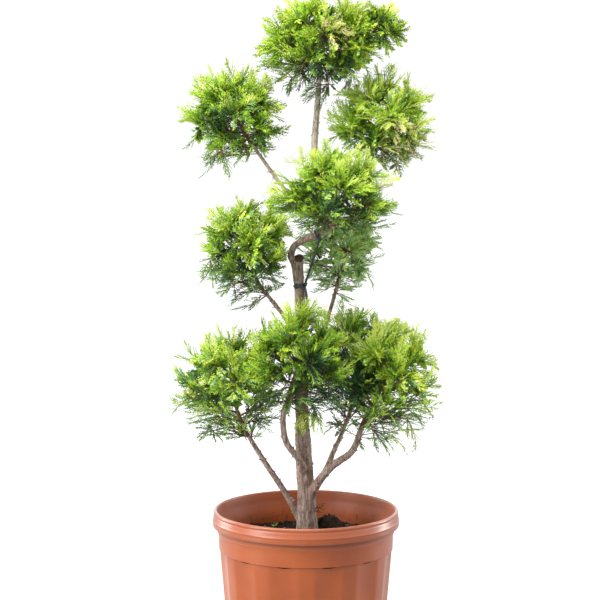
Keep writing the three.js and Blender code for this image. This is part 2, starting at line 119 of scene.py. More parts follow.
# Boughs: middle line, and the radius at the foot and at the tip
BOUGHS = {
    "lower_left": ([(0, 0, 203), (-24, -1, 253), (-60, -4, 309), (-86, -7, 352)], (6, 3.6)),
    "lower_right": ([(1, 0, 236), (14, -13, 276), (38, -19, 308), (68, -21, 331), (83, -22, 368)], (8, 4.6)),
    "lower_back": ([(27, -14, 294), (32, 4, 301), (41, 18, 322), (52, 32, 343), (64, 47, 370)], (5, 3.2)),
    "lower_front": (
        [(-1, 0, 288), (-10, -20, 318), (-29, -28, 346), (-34, -33, 385), (-27, -46, 413)],
        (6, 4.2),
    ),
    "mid_back": ([(-7, 0, 425), (18, 20, 481), (34, 28, 529), (49, 34, 580)], (4, 3)),
    "mid_left": ([(-8, 0, 478), (-27, -5, 523), (-64, -7, 572)], (4, 3)),
    "centre": ([(18, -26, 656), (32, -34, 661), (41, -46, 671)], (4.2, 3.4)),
    "upper_left": ([(31, -25, 672), (10, -12, 686), (-24, -5, 712), (-78, -7, 784)], (3.8, 2.8)),
    "upper_right": ([(28, -13, 702), (48, 3, 726), (92, 18, 779)], (3.6, 2.6)),
}
Limb = namedtuple("Limb", "line radii headings")
LINE_STEP = 1.5
LIMB_MARGIN = 1.5

# Stump of the old leader: its line and radii, and the slanting cut that ends it
CUT_LEADER = ([(-10.4, 0, 575), (-10.6, -1, 600), (-10.4, -5, 614)], (7.4, 6.4))
CUT_FACE = {"centre": (-10.6, -9.5, 619), "heading": (-0.05, -0.74, 0.67), "radius": 6.2}
BARK_VOXEL = 1.15

# Masses of foliage. loose has the tips of sprays that hang or stand out by themselves, gold and blue are
# the shares of gold and of bluish plumes, light is how much lighter than the rest a mass is painted, partly
# its own tone and partly painted light and shade, depth how far down its finer sprays hang as a share of its
# radius, and openness how thin it is below. A fine mass has fine fans all over.
Lobe = namedtuple("Lobe", "centre radii twigs")
MASS_PARTS = "seed lobes loose gold blue light depth openness fine"
Mass = namedtuple("Mass", MASS_PARTS, defaults=(0.36, 0.1, 0, 0.85, 1, False))
MASSES = {
    "top": Mass(
        11, [Lobe((21, 0, 930), (92, 80, 77), 13), Lobe((100, -5, 952), (54, 48, 40), 4)],
        [(-50, -10, 880), (-30, -20, 865), (-5, -20, 857), (25, -15, 852), (35, -10, 860), (54, 10, 868)],
        gold=0.45, blue=0, light=0.07, depth=1, openness=0.7,
    ),
    "upper_left": Mass(
        22, [Lobe((-106, -10, 823), (77, 74, 78), 11)],
        [(-145, -15, 755), (-130, -10, 757), (-116, -20, 748)],
        light=0.1, depth=1, openness=0.8,
    ),
    "upper_right": Mass(
        33, [Lobe((114, 25, 816), (77, 74, 82), 11)],
        [(25, 5, 838), (45, 0, 810), (110, 0, 755), (125, 10, 750), (145, 5, 758), (90, -50, 830),
         (105, -50, 820)],
        blue=0.2, light=0.25, depth=0.95, openness=0.55,
    ),
    "centre": Mass(
        44, [Lobe((41, -75, 714), (88, 78, 77), 12)],
        [(-54, -60, 722), (-46, -70, 709), (115, -60, 675), (118, -70, 692)],
        gold=0.42, light=0.05,
    ),
    "mid_left": Mass(
        55, [Lobe((-91, -10, 630), (71, 70, 80), 11)],
        [(-28, -10, 668), (-22, -10, 648), (-83, -10, 543), (-150, -5, 580), (-130, -15, 568),
         (-105, -5, 560)],
        blue=0.25, light=0.09,
    ),
    "mid_back": Mass(
        66, [Lobe((51, 55, 621), (68, 64, 72), 10)],
        [(60, 40, 565), (70, 40, 555), (10, 30, 600), (48, 30, 575)],
        gold=0.1, blue=0.8, light=0.57, openness=0.6, fine=True,
    ),
    "lower_left": Mass(
        77, [Lobe((-114, -10, 424), (85, 78, 90), 12)],
        [(-162, -10, 346), (-140, -20, 354), (-54, -15, 365)],
        gold=0.48, blue=0.25, light=0.18, depth=0.9,
    ),
    "lower_front": Mass(
        88, [Lobe((-9, -80, 468), (77, 72, 86), 11)],
        [(18, -65, 575), (30, -68, 568), (36, -65, 575), (-68, -70, 532), (-28, -80, 388),
         (-2, -95, 384), (10, -90, 378), (20, -85, 385)],
        gold=0.32, light=-0.09,
    ),
    "lower_right": Mass(
        99, [Lobe((121, -25, 432), (76, 74, 94), 12)],
        [(86, -30, 350), (103, -20, 338), (130, -25, 338), (159, -25, 352), (145, -20, 525),
         (158, -10, 512)],
        gold=0.5, light=0.13, depth=1.02,
    ),
    "lower_back": Mass(
        110, [Lobe((74, 85, 446), (78, 76, 92), 12)],
        [(28, 50, 358), (25, 60, 375), (45, 55, 345), (57, 60, 350), (60, 70, 360)],
        blue=0.3, depth=0.97,
    ),
}

# Training tie: a strand from a band round the trunk to the trunk's bend, its ends and its band
TIE_BAND_HEIGHT = 577
TIE_RADIUS = 1.7
TIE_SUNK = 2.4
TIE_END_RADIUS = 2.5
TIE_STRAND = [(-1.8, -3, 578), (9, -12, 612), (18, -25, 642), (19, -30, 652)]
TIE_END = [(-1.8, -3.5, 576), (1, -6, 562), (3, -6, 545)]
TIE_TAIL = [(14, -34, 652), (22, -36, 649), (31, -35, 648)]

# Twigs of the dead side shoot, the thickest first
DRY_TWIGS = [
    [(11, -4, 240), (17, -5, 242), (23, -4, 243), (28, -3, 246)],
    [(16, -5, 242), (18, -7, 246), (22, -8, 249)],
    [(20, -4, 243), (24, -6, 240), (29, -6, 241)],
    [(18, -4.5, 242), (19, -3, 237), (23, -2, 234)],
    [(12, -3, 236), (16, -1, 237), (20, 0, 233)],
    [(24, -3.5, 244), (25, -5, 248), (29, -6, 250)],
    [(14, -5, 241), (15, -8, 237), (20, -9, 239)],
]

# How a mass branches: reaches are shares of a lobe's radii
GOLDEN_ANGLE = math.pi * (3 - math.sqrt(5))
CORE_LIFT = 0.12
STEM_BEND = 0.35
STEM_END_RADIUS = 2
FORK_REACH = 0.6
SPRAYS_PER_TWIG = 3
SPRAY_SPREAD = 0.46
SPRAY_LIFT = 0.1
SPRAY_ROOT_PULL = 0.12
SPRAY_REACH_MIN = 0.98
SPRAY_REACH_RANGE = 0.12
LOWEST_SPRAY = 0.75

# Finer growth: more sprays a twig, with plumes on each spray and leaves on each plume. start is where
# on a spray the plumes begin, and limit is how far out in the mass they may reach.
MORE_SPRAYS_PER_TWIG = 12
INNER_SPRAYS_PER_TWIG = 12
INNER_REACH = 0.8
Growth = namedtuple("Growth", "start plumes leaves length width spread opening limit")
OUTER_GROWTH = Growth(0.05, 15, 7, 0.97, 1.4, 0.38, 40, 1.2)
FAN_GROWTH = Growth(0.2, 11, 8, 0.52, 0.95, 0.34, 34, 1.34)
INNER_GROWTH = Growth(0.05, 9, 4, 1.45, 3, 0.45, 44, 0.96)
TRESPASS = 0.12

# The fine fans under a mass: how low on it they start, and how many points at the limb's end bear them
FAN_FROM = 0.5
LOW_ROOT_RUN = 14

# Places where the plant is clipped closer: centre and radius
CLIPPED = [
    ((-18, -75, 762), 24), ((-158, -10, 648), 15), ((-90, -10, 705), 9), ((-180, -10, 845), 12),
    ((-31, -10, 825), 12), ((-182, -10, 480), 15), ((-195, -10, 401), 11), ((199, -25, 457), 12),
    ((156, -5, 944), 9), ((110, 55, 598), 14), ((-70, -60, 745), 16), ((-178, -10, 880), 14),
    ((-45, -10, 860), 10),
]

# Tints of the leaves, from the shaded inside to the sunlit tips, then the odd ones
LEAF_TINTS = {
    "green": [(60, 88, 34), (95, 134, 41), (133, 176, 45), (166, 206, 57), (192, 221, 76), (212, 230, 114)],
    "gold": [(78, 100, 32), (114, 142, 36), (154, 186, 44), (186, 208, 56), (207, 222, 79), (222, 232, 122)],
    "blue": [(48, 78, 50), (72, 112, 62), (98, 142, 76), (124, 168, 90), (148, 190, 108), (176, 210, 134)],
    "odd": [(226, 216, 150), (142, 104, 72)],
}
GREEN, GOLD, BLUE = range(3)
TINT_STEPS = 6
STRAW = 3 * TINT_STEPS
RUST = STRAW + 1

# Where some tips have turned straw, and painted light on sunlit sprays and painted shade in deep hollows:
# centre, radius and how much lighter the leaves are painted there
STRAW_SPOTS = [((150, -30, 778), 46), ((112, -110, 745), 24), ((44, -60, 950), 30)]
PAINTED_LIGHT_AND_SHADE_SPOTS = [
    ((-14, -92, 384), 40, 0.5), ((22, -85, 378), 30, 0.3), ((-118, -40, 786), 32, 0.2),
    ((-98, -50, 374), 24, 0.3), ((105, -70, 385), 28, 0.3), ((147, -25, 356), 30, 0.25),
    ((60, -40, 430), 56, -0.5), ((58, 30, 430), 55, -0.3), ((-168, -20, 442), 34, -0.2),
    ((20, -30, 880), 36, -0.16), ((-120, -60, 822), 34, -0.2), ((38, -130, 708), 28, -0.2),
    ((14, -120, 476), 28, -0.16),
]


# Seeded numbers, curves and meshes


def random_source(seed):
    """The same even numbers that the plant's masses are branched with."""
    state = seed

    def draw():
        nonlocal state
        state = (state * 1664525 + 1013904223) % 4294967296
        return state / 4294967296

    return draw


def unit(vectors):
    vectors = np.asarray(vectors, float)
    return vectors / np.linalg.norm(vectors, axis=-1, keepdims=True)


def distances(points, place):
    return np.linalg.norm(points - np.array(place), axis=-1)


def circle(sides):
    return np.arange(sides) / sides * TAU


def ring(turns, first=(1, 0, 0), second=(0, 1, 0)):
    """Points round a unit circle, which lies level or in the plane of two other directions."""
    return np.outer(np.cos(turns), first) + np.outer(np.sin(turns), second)


def sideways(direction):
    """Two directions square to the given ones and to each other."""
    direction = np.asarray(direction, float)
    upright = np.abs(direction[..., 2:]) < 0.9
    helper = np.where(upright, (0.0, 0.0, 1.0), (1.0, 0.0, 0.0))
    first = unit(np.cross(helper, direction))
    return first, np.cross(direction, first)


def bezier(t, *controls):
    """Points at shares t of the Bezier curve with these control points."""
    t = np.asarray(t)[:, None]
    while len(controls) > 1:
        controls = [a + (b - a) * t for a, b in zip(controls, controls[1:])]
    return controls[0]


def curve_through(points):
    """Even points on the centripetal Catmull-Rom curve through the given ones."""
    given = np.array(points, float)
    padded = np.vstack([2 * given[0] - given[1], given, 2 * given[-1] - given[-2]])
    parts = []
    for p0, p1, p2, p3 in zip(padded, padded[1:], padded[2:], padded[3:]):
        d0, d1, d2 = (np.linalg.norm(b - a) ** 0.5 for a, b in ((p0, p1), (p1, p2), (p2, p3)))
        start = ((p1 - p0) / d0 - (p2 - p0) / (d0 + d1) + (p2 - p1) / d1) * d1
        end = ((p2 - p1) / d1 - (p3 - p1) / (d1 + d2) + (p3 - p2) / d2) * d1
        parts.append(bezier(np.linspace(0, 1, 60), p1, p1 + start / 3, p2 - end / 3, p2))
    line = np.vstack(parts)
    lengths = np.r_[0, np.cumsum(np.linalg.norm(np.diff(line, axis=0), axis=1))]
    wanted = np.linspace(0, lengths[-1], max(3, math.ceil(lengths[-1] / LINE_STEP) + 1))
    return np.column_stack([np.interp(wanted, lengths, line[:, k]) for k in range(3)])


def closed_skin(rings, foot, top):
    """Points and triangles of a skin over even rings, closed to a point at each end."""
    sides = len(rings[0])
    last = (len(rings) - 1) * sides
    i = np.arange(sides)
    j = (i + 1) % sides
    faces = []
    for start in range(0, last, sides):
        a, b = start + i, start + j
        faces += [(a, b, b + sides), (a, b + sides, a + sides)]
    faces.append((j, i, np.full(sides, last + sides)))
    faces.append((last + i, last + j, np.full(sides, last + sides + 1)))
    return np.vstack([*rings, [foot, top]]), np.vstack([np.column_stack(corners) for corners in faces])


def tube(points, radii, sides, tint=0):
    """A closed tube along points, with one radius, or several that are spread evenly along it."""
    points = np.asarray(points, float)
    radii = np.atleast_1d(radii)
    radii = np.interp(np.linspace(0, 1, len(points)), np.linspace(0, 1, len(radii)), radii)
    tangents = unit(np.gradient(points, axis=0))
    normal, _ = sideways(tangents[0])
    turns = circle(sides)
    rings = []
    for point, tangent, radius in zip(points, tangents, radii):
        normal = unit(normal - tangent * normal.dot(tangent))
        rings.append(point + radius * ring(turns, normal, np.cross(tangent, normal)))
    return *closed_skin(rings, points[0], points[-1]), tint


def new_piece(name, parts, materials, smooth=True):
    """A mesh object from parts in millimetres. A tint picks the material of a part's triangles."""
    vertices, triangles, tints, start = [], [], [], 0
    for points, faces, tint in parts:
        vertices.append(points)
        triangles.append(np.asarray(faces) + start)
        tints.append(np.broadcast_to(tint, len(faces)))
        start += len(points)
    mesh = bpy.data.meshes.new(name)
    mesh.from_pydata(np.vstack(vertices) * MM, [], np.vstack(triangles), shade_flat=not smooth)
    for material in materials:
        mesh.materials.append(material)
    mesh.polygons.foreach_set("material_index", np.concatenate(tints).astype(np.int32))
    return put(name, mesh)


def put(name, data):
    """A new object in the scene."""
    made = bpy.data.objects.new(name, data)
    bpy.context.scene.collection.objects.link(made)
    return made


def apply_modifiers(piece):
    evaluated = piece.evaluated_get(bpy.context.evaluated_depsgraph_get())
    mesh = bpy.data.meshes.new_from_object(evaluated)
    piece.modifiers.clear()
    piece.data = mesh


# Materials


def srgb(red, green, blue):
    """A colour as the eye's 0 to 255 numbers, in linear light."""
    parts = np.array([red, green, blue]) / 255
    linear = np.where(parts <= 0.04045, parts / 12.92, ((parts + 0.055) / 1.055) ** 2.4)
    return (*linear, 1)


class Value:
    """What a node gives out. It is added, taken away and multiplied like a number."""

    def __init__(self, node, output=0):
        self.tree = node.id_data
        self.socket = node.outputs[output]

    def combine(self, operation, first, second):
        return Value(add_node(self.tree, "Math", {0: first, 1: second}, operation=operation))

    def __add__(self, other):
        return self.combine("ADD", self, other)

    def __mul__(self, other):
        return self.combine("MULTIPLY", self, other)

    def __sub__(self, other):
        return self.combine("SUBTRACT", self, other)

    def __rsub__(self, other):
        return self.combine("SUBTRACT", other, self)

    def step(self, low, high):
        """0 below low and 1 above high."""
        limits = {"Value": self, "From Min": low, "From Max": high}
        return Value(add_node(self.tree, "MapRange", limits, interpolation_type="SMOOTHSTEP"))


def feed(node, name, value):
    """Links a value to a node's input, or sets a number or colour there."""
    if isinstance(value, Value):
        value.tree.links.new(value.socket, node.inputs[name])
    else:
        node.inputs[name].default_value = value


def add_node(tree, kind, inputs=(), **settings):
    node = tree.nodes.new(f"ShaderNode{kind}")
    for name, setting in settings.items():
        setattr(node, name, setting)
    for name, value in dict(inputs).items():
        feed(node, name, value)
    return node


def new_material(name, roughness, specular, colour=(0.8, 0.8, 0.8, 1)):
    material = bpy.data.materials.new(name)
    material.use_nodes = True
    shader = material.node_tree.nodes["Principled BSDF"]
    feed(shader, "Roughness", roughness)
    feed(shader, "Specular IOR Level", specular)
    feed(shader, "Base Color", colour)
    return material, shader


def object_place(shader, scale=(1, 1, 1)):
    """The place in the part's own frame, in metres, stretched by scale."""
    place = Value(add_node(shader.id_data, "TexCoord"), "Object")
    return Value(add_node(place.tree, "Mapping", {"Vector": place, "Scale": scale}))


def place_axes(shader):
    """The height and the distance from the pot's axis, in metres."""
    flat = object_place(shader, (1, 1, 0))
    axes = add_node(flat.tree, "SeparateXYZ", {0: object_place(shader)})
    radius = add_node(flat.tree, "VectorMath", {0: flat}, operation="LENGTH")
    return Value(axes, 2), Value(radius, "Value")


def noise_at(place, scale, detail, roughness):
    inputs = {"Vector": place, "Scale": scale, "Detail": detail, "Roughness": roughness}
    return Value(add_node(place.tree, "TexNoise", inputs), "Fac")


def ramp(value, stops):
    """A colour from a few: one at each share, as 0 to 255 a part or as linear light."""
    node = add_node(value.tree, "ValToRGB", {"Fac": value})
    elements = node.color_ramp.elements
    while len(elements) < len(stops):
        elements.new(0.5)
    for element, (place, colour) in zip(elements, stops.items()):
        element.position = place
        element.color = srgb(*colour) if len(colour) == 3 else colour
    return Value(node)


def mixed(share, first, second):
    """The first colour with a share of the second."""
    inputs = {0: share, 6: first, 7: second if isinstance(second, Value) else srgb(*second)}
    return Value(add_node(share.tree, "Mix", inputs, data_type="RGBA"), 2)


def add_bump(shader, height, strength, distance):
    inputs = {"Height": height, "Strength": strength, "Distance": distance}
    feed(shader, "Normal", Value(add_node(height.tree, "Bump", inputs)))


def make_pot_material():
    """Satin terracotta-coloured plastic: cloudy colour, fine scuffs, soil marks inside, and painted shade on
    the rim, under it and under the collar.
    """
    material, shader = new_material("terracotta_plastic", 0.36, 0.5)
    gloss = {"Coat Weight": 0.35, "Coat Roughness": 0.3, "Sheen Weight": 0.3, "Sheen Roughness": 0.35}
    for name, amount in gloss.items():
        feed(shader, name, amount)
    place, streaks = object_place(shader), object_place(shader, (1, 1, 0.12))
    height, radius = place_axes(shader)
    base = ramp(noise_at(place, 9, 3, 0.55), {0.3: (153, 69, 21), 0.55: (168, 79, 25), 0.75: (183, 93, 37)})
    scuffs = noise_at(streaks, 160, 6, 0.7).step(0.62, 0.75)
    base = mixed(scuffs * 0.22, base, (222, 158, 122))
    past_lip = radius - height.step(0.198, 0.222) * 0.0047
    inside = (1 - past_lip.step(0.1298, 0.1302)) * height.step(0.1815, 0.183)
    # Painted shade: the rim is darker, which tones down the light and highlights that fall on its face
    rim = height.step(0.2155, 0.2175)
    base = mixed(rim * 0.6, base, (146, 68, 30))
    # Painted shade: a dark band under the rim's overhang and a thin dark line under the collar's step,
    # outside only
    for low, high in PAINTED_SHADE_BANDS:
        painted_shade = height.step(low, high - PAINTED_SHADE_EDGE) - height.step(high - PAINTED_SHADE_EDGE, high)
        base = mixed(painted_shade * (1 - inside) * 0.75, base, (78, 31, 16))
    splashed = (1 - height.step(0.196, 0.232)) * height.step(0.18, 0.19)
    mud = inside * splashed * noise_at(place, 130, 8, 0.8).step(0.55, 0.62)
    feed(shader, "Base Color", mixed(mud * 0.85, base, (52, 32, 24)))
    feed(shader, "Roughness", noise_at(streaks, 70, 5, 0.6) * 0.14 + 0.28 + inside * 0.25)
    add_bump(shader, noise_at(place, 420, 4, 0.6), 0.12, 0.0004)
    return material


def make_bark_material():
    """Grey-brown bark: dark in its cracks, redder where it has flaked, paler and smoother higher up."""
    material, shader = new_material("bark", 0.82, 0.3)
    place, along = object_place(shader), object_place(shader, (1, 1, 0.22))
    height, radius = place_axes(shader)
    grain = noise_at(along, 330, 8, 0.75)
    low = {0.32: (70, 52, 44), 0.45: (132, 110, 97), 0.57: (175, 158, 147), 0.7: (217, 206, 198)}
    high = {0.3: (118, 98, 88), 0.48: (196, 178, 166), 0.68: (236, 224, 214)}
    base = mixed(height.step(0.63, 0.78), ramp(grain, low), ramp(grain, high))
    on_trunk = 1 - radius.step(0.02, 0.032)
    rough = (height.step(0.25, 0.31) - height.step(0.4, 0.47)) * on_trunk
    flaked = noise_at(along, 55, 6, 0.65).step(0.48, 0.6)
    base = mixed(flaked * (rough * 0.52 + 0.23), base, (124, 87, 69))
    relief = Value(add_node(place.tree, "Attribute", attribute_name="relief"), "Fac")
    base = mixed((1 - relief.step(0.2, 0.5)) * 0.75, base, (50, 37, 31))
    moss = noise_at(place, 24, 4, 0.6).step(0.6, 0.72)
    feed(shader, "Base Color", mixed(moss * 0.25, base, (112, 118, 92)))
    add_bump(shader, noise_at(along, 420, 8, 0.7), 0.5, 0.0008)
    return material


def make_grained_material(name, roughness, specular, colours, bump, *grains):
    """A material whose colour follows the first of its grains, and its relief the last."""
    material, shader = new_material(name, roughness, specular)
    place = object_place(shader)
    shades = [noise_at(place, *grain) for grain in grains]
    feed(shader, "Base Color", ramp(shades[0], colours))
    add_bump(shader, shades[-1], *bump)
    return material


def make_soil_material():
    colours = {0.32: (18, 13, 11), 0.52: (40, 29, 22), 0.66: (66, 48, 36), 0.8: (106, 86, 68)}
    grains = (320, 8, 0.75), (500, 8, 0.75)
    return make_grained_material("potting_soil", 0.95, 0.2, colours, (0.9, 0.002), *grains)


def make_crumb_material(name, colour):
    """Bark, wood or fibre, much darker in its grain."""
    bright = srgb(*colour)
    dark = (*[0.45 * part for part in bright[:3]], 1)
    return make_grained_material(name, 0.9, 0.25, {0.35: dark, 0.62: bright}, (0.6, 0.001), (260, 5, 0.7))


def make_tie_material():
    colours = {0.35: (24, 30, 33), 0.7: (52, 60, 64)}
    return make_grained_material("soft_tie", 0.5, 0.5, colours, (0.3, 0.0004), (300, 4, 0.6))


# Pot and soil


def wall_radius(height):
    if height >= COLLAR_FOOT:
        return COLLAR_RADIUS - COLLAR_TAPER * (POT_HEIGHT - RIM_DEPTH - height)
    return wall_radius(COLLAR_FOOT) - COLLAR_STEP - WALL_TAPER * (COLLAR_FOOT - height)


def flute_depth(height):
    """None on the collar, all of it on the wall below, and a short slope above the foot."""
    return FLUTE_DEPTH * (height < COLLAR_FOOT) * np.clip((height - FLUTE_FOOT) / FLUTE_RUN_OUT, 0, 1)


def arc(middle, reach, start, end, count):
    """Radii and heights along a part of an ellipse."""
    turns = np.linspace(start, end, count)
    return [(middle[0] + reach[0] * math.cos(t), middle[1] + reach[1] * math.sin(t)) for t in turns]


def rim_outline():
    """The rolled rim: a hollow under it, a nearly straight face with a faint bead, and a narrow lip."""
    foot = POT_HEIGHT - RIM_DEPTH
    inset = RIM_RADIUS - RIM_OVERHANG
    under = arc((inset - 0.3, foot - 18), (COLLAR_RADIUS - inset, 10), 0, math.pi / 2, 7)
    under += [(inset, foot - 2), (inset + 0.2, foot + 1.5)]
    under += [(RIM_RADIUS - 2.6, foot + 1.5), (RIM_RADIUS - 2.3, foot)]
    roll = arc((RIM_RADIUS - 1.5, foot + 1.2), (1.5, 1.5), -math.pi / 2, 0, 7)
    face = [(RIM_RADIUS - inward, foot + rise) for inward, rise in RIM_FACE]
    lip = arc((RIM_RADIUS - 4.2, POT_HEIGHT - 2.6), (2.6, 2.6), 0, math.pi, 9)
    return under + roll + face + lip + [(MOUTH_RADIUS - 1, foot + 12), (MOUTH_RADIUS - 2, foot + 4)]


def make_pot(material):
    heights = [FOOT_CHAMFER, 10, FLUTE_FOOT, FLUTE_FOOT + FLUTE_RUN_OUT, *range(30, 171, 10), 176]
    heights += [COLLAR_FOOT - 0.6, COLLAR_FOOT - 0.1, COLLAR_FOOT, COLLAR_FOOT + 2, 190, 196]
    outer = [(wall_radius(z), z) for z in heights]
    inner = [(wall_radius(z) - WALL, z) for z in (FLOOR + 2, *heights[2:], 210)]
    profile = [(FLOOR_RING, 0), (wall_radius(0) - FOOT_CHAMFER, 0), *outer, *rim_outline(), *inner[::-1]]
    profile += [(wall_radius(FLOOR) - WALL - 2, FLOOR), (FLOOR_RING, FLOOR)]
    angles = circle(POT_SIDES)
    from_middle = np.abs(angles / TAU * FLUTE_COUNT % 1 - 0.5)
    flute = np.maximum(0, 1 - (from_middle / FLUTE_HALF_WIDTH) ** 2)
    rings = []
    for radius, height in profile:
        reach = radius - flute * flute_depth(height)
        rings.append(reach[:, None] * ring(angles) + (0, 0, height))
    pot = new_piece("pot_shell", [(*closed_skin(rings, (0, 0, 0), (0, 0, FLOOR)), 0)], [material])
    cut_drains(pot)
    pot.data.set_sharp_from_angle(angle=math.radians(40))
    return pot


def cut_drains(pot):
    places = DRAIN_CIRCLE * ring(circle(DRAIN_COUNT))
    parts = [tube([(x, y, -5), (x, y, 2), (x, y, 9)], DRAIN_RADIUS, 20) for x, y, _ in places]
    cutter = new_piece("drain_cutter", parts, [], smooth=False)
    cut = pot.modifiers.new("drains", "BOOLEAN")
    cut.object = cutter
    cut.operation = "DIFFERENCE"
    apply_modifiers(pot)
    bpy.data.objects.remove(cutter)


def soil_height(x, y):
    """Height of the soil's surface: level with lumps, and a mound behind the trunk."""
    from_mound = math.hypot(x - MOUND["x"], y - MOUND["y"]) / MOUND["radius"]
    mound = MOUND["height"] * math.cos(min(from_mound, 1) * math.pi / 2) ** 2
    lumps = noise.fractal(Vector((x, y, 3)) * 0.07, 0.9, 2.1, 5) * 3.2
    crumbs = noise.noise(Vector((x, y, 9)) * 0.3) * 1.8
    from_trunk = math.hypot(x - TRUNK_LINE[0][0], y)
    seat = min(1, max(0, (from_trunk - 20) / 14))
    return SOIL_LEVEL - SOIL_LUMP * 0.8 + (mound + lumps + crumbs) * seat


def make_soil(material):
    outline = ring(circle(SOIL_SIDES))
    edge = wall_radius(SOIL_LEVEL) - WALL
    inset = WALL + FLUTE_DEPTH + SOIL_GAP
    below = [(wall_radius(COLLAR_FOOT) - WALL - SOIL_GAP, COLLAR_FOOT)]
    below += [(wall_radius(170) - inset, 172), (wall_radius(FLOOR) - inset, FLOOR + SOIL_GAP)]
    rings = []
    for radius in edge * np.linspace(0, 1, SOIL_RINGS + 1)[1:] ** 0.85:
        rings.append([(x, y, soil_height(x, y)) for x, y, _ in radius * outline])
    rings += [radius * outline + (0, 0, height) for radius, height in below]
    points, faces = closed_skin(rings, (0, 0, soil_height(0, 0)), (0, 0, FLOOR + SOIL_GAP))
    return new_piece("soil_bed", [(points, faces[:, ::-1], 0)], [material])


def make_crumbs(materials):
    """Bits of bark and fibre strewn on the soil: small uneven blocks."""
    rng = np.random.default_rng(41)
    corners = np.array([(x, y, z) for x in (-1, 1) for y in (-1, 1) for z in (-1, 1)], float)
    quads = [(0, 1, 3, 2), (4, 6, 7, 5), (0, 4, 5, 1), (2, 3, 7, 6), (0, 2, 6, 4), (1, 5, 7, 3)]
    faces = [(a, b, c) for a, b, c, _ in quads] + [(a, c, d) for a, _, c, d in quads]
    parts = []
    for _ in range(CRUMB_COUNT):
        radius = (wall_radius(SOIL_LEVEL) - WALL - 5) * math.sqrt(rng.random())
        angle = rng.random() * TAU
        x, y = radius * math.cos(angle), radius * math.sin(angle)
        if math.hypot(x - TRUNK_LINE[0][0], y) < 25:
            continue
        size = rng.uniform(0.6, 1.4) * (1 + 1.2 * (rng.random() < 0.1))
        stretch = np.array([rng.uniform(1.2, 3.2), rng.uniform(0.7, 1.3), rng.uniform(0.3, 0.8)]) * size
        turned = unit(rng.normal(size=3))
        second = unit(np.cross(turned, rng.normal(size=3)))
        flat = rng.uniform(0.2, 1)
        turned[2] *= flat
        second[2] *= flat
        turned = unit(turned)
        second = unit(second - turned * second.dot(turned))
        axes = np.array([turned, second, np.cross(turned, second)])
        block = (corners * rng.uniform(0.6, 1, corners.shape) * stretch) @ axes
        centre = (x, y, soil_height(x, y) + 0.5 * size)
        parts.append((block + centre, faces, rng.choice(len(materials), p=CRUMB_SHARES)))
    return new_piece("soil_crumbs", parts, materials, smooth=False)


# Limbs


def make_limb(points, girth):
    """Even points along a limb, and its radius and heading at each: by height, or from foot to tip."""
    line = curve_through(points)
    by_height = len(girth) > 2
    radii = np.interp(line[:, 2], *zip(*girth)) if by_height else np.linspace(*girth, len(line))
    return Limb(line, radii, unit(np.gradient(line, axis=0)))


LIMBS = {"trunk": make_limb(TRUNK_LINE, TRUNK_GIRTH)}
LIMBS.update({place: make_limb(line, girth) for place, (line, girth) in BOUGHS.items()})


def limb_distance(points):
    """How far each point lies from the nearest limb's surface."""
    flat = points.reshape(-1, 3)
    best = np.full(len(flat), np.inf)
    for limb in LIMBS.values():
        away = np.linalg.norm(flat[:, None] - limb.line[::3], axis=2) - limb.radii[::3]
        best = np.minimum(best, away.min(axis=1))
    return best.reshape(points.shape[:-1])


def spur(limb, share, around, length, radius):
    """The stub of a shoot that was cut off."""
    index = int(share * (len(limb.line) - 1))
    centre, reach, heading = (part[index] for part in limb)
    first = unit(np.cross(heading, (0.3, 0.9, 0.1)))
    second = np.cross(heading, first)
    out = math.cos(around) * first + math.sin(around) * second + 0.5 * heading
    foot, tip = centre + out * reach * 0.5, centre + out * (reach + length)
    return tube([foot, (foot + tip) / 2, tip], (radius * 1.5, radius, radius * 0.7), 8)


def make_bark(material):
    """Trunk and boughs as one skin, grown together where they meet, with the bark's relief."""
    rng = np.random.default_rng(7)
    parts = []
    for place, (line, radii, _) in LIMBS.items():
        length = LINE_STEP * len(line)
        if place != "trunk":
            run = np.linspace(0, length, len(line))
            radii = radii * (0.92 + 0.24 * np.exp(-np.maximum(run - 14, 0) / 8))
        parts.append(tube(line, radii, 28))
        for _ in range(int(length / 8)):
            share, around = rng.uniform(0.12, 0.97), rng.uniform(0, TAU)
            parts.append(spur(LIMBS[place], share, around, rng.uniform(0.8, 4.6), rng.uniform(0.9, 1.5)))
    line, radii = CUT_LEADER
    parts.append(tube(curve_through(line), radii, 24))
    cut, heading = np.array(CUT_FACE["centre"]), unit(CUT_FACE["heading"])
    parts.append(tube([cut - heading * 12, cut - heading * 5, cut], (6.2, 6.8, 5.8), 24))
    bark = new_piece("bark_skin", parts, [material])
    remesh = bark.modifiers.new("skin", "REMESH")
    remesh.mode = "VOXEL"
    remesh.voxel_size = BARK_VOXEL * MM
    smooth = bark.modifiers.new("smooth", "SMOOTH")
    smooth.factor = 0.5
    smooth.iterations = 3
    apply_modifiers(bark)
    raise_bark(bark.data)
    bark.data.shade_smooth()
    return bark


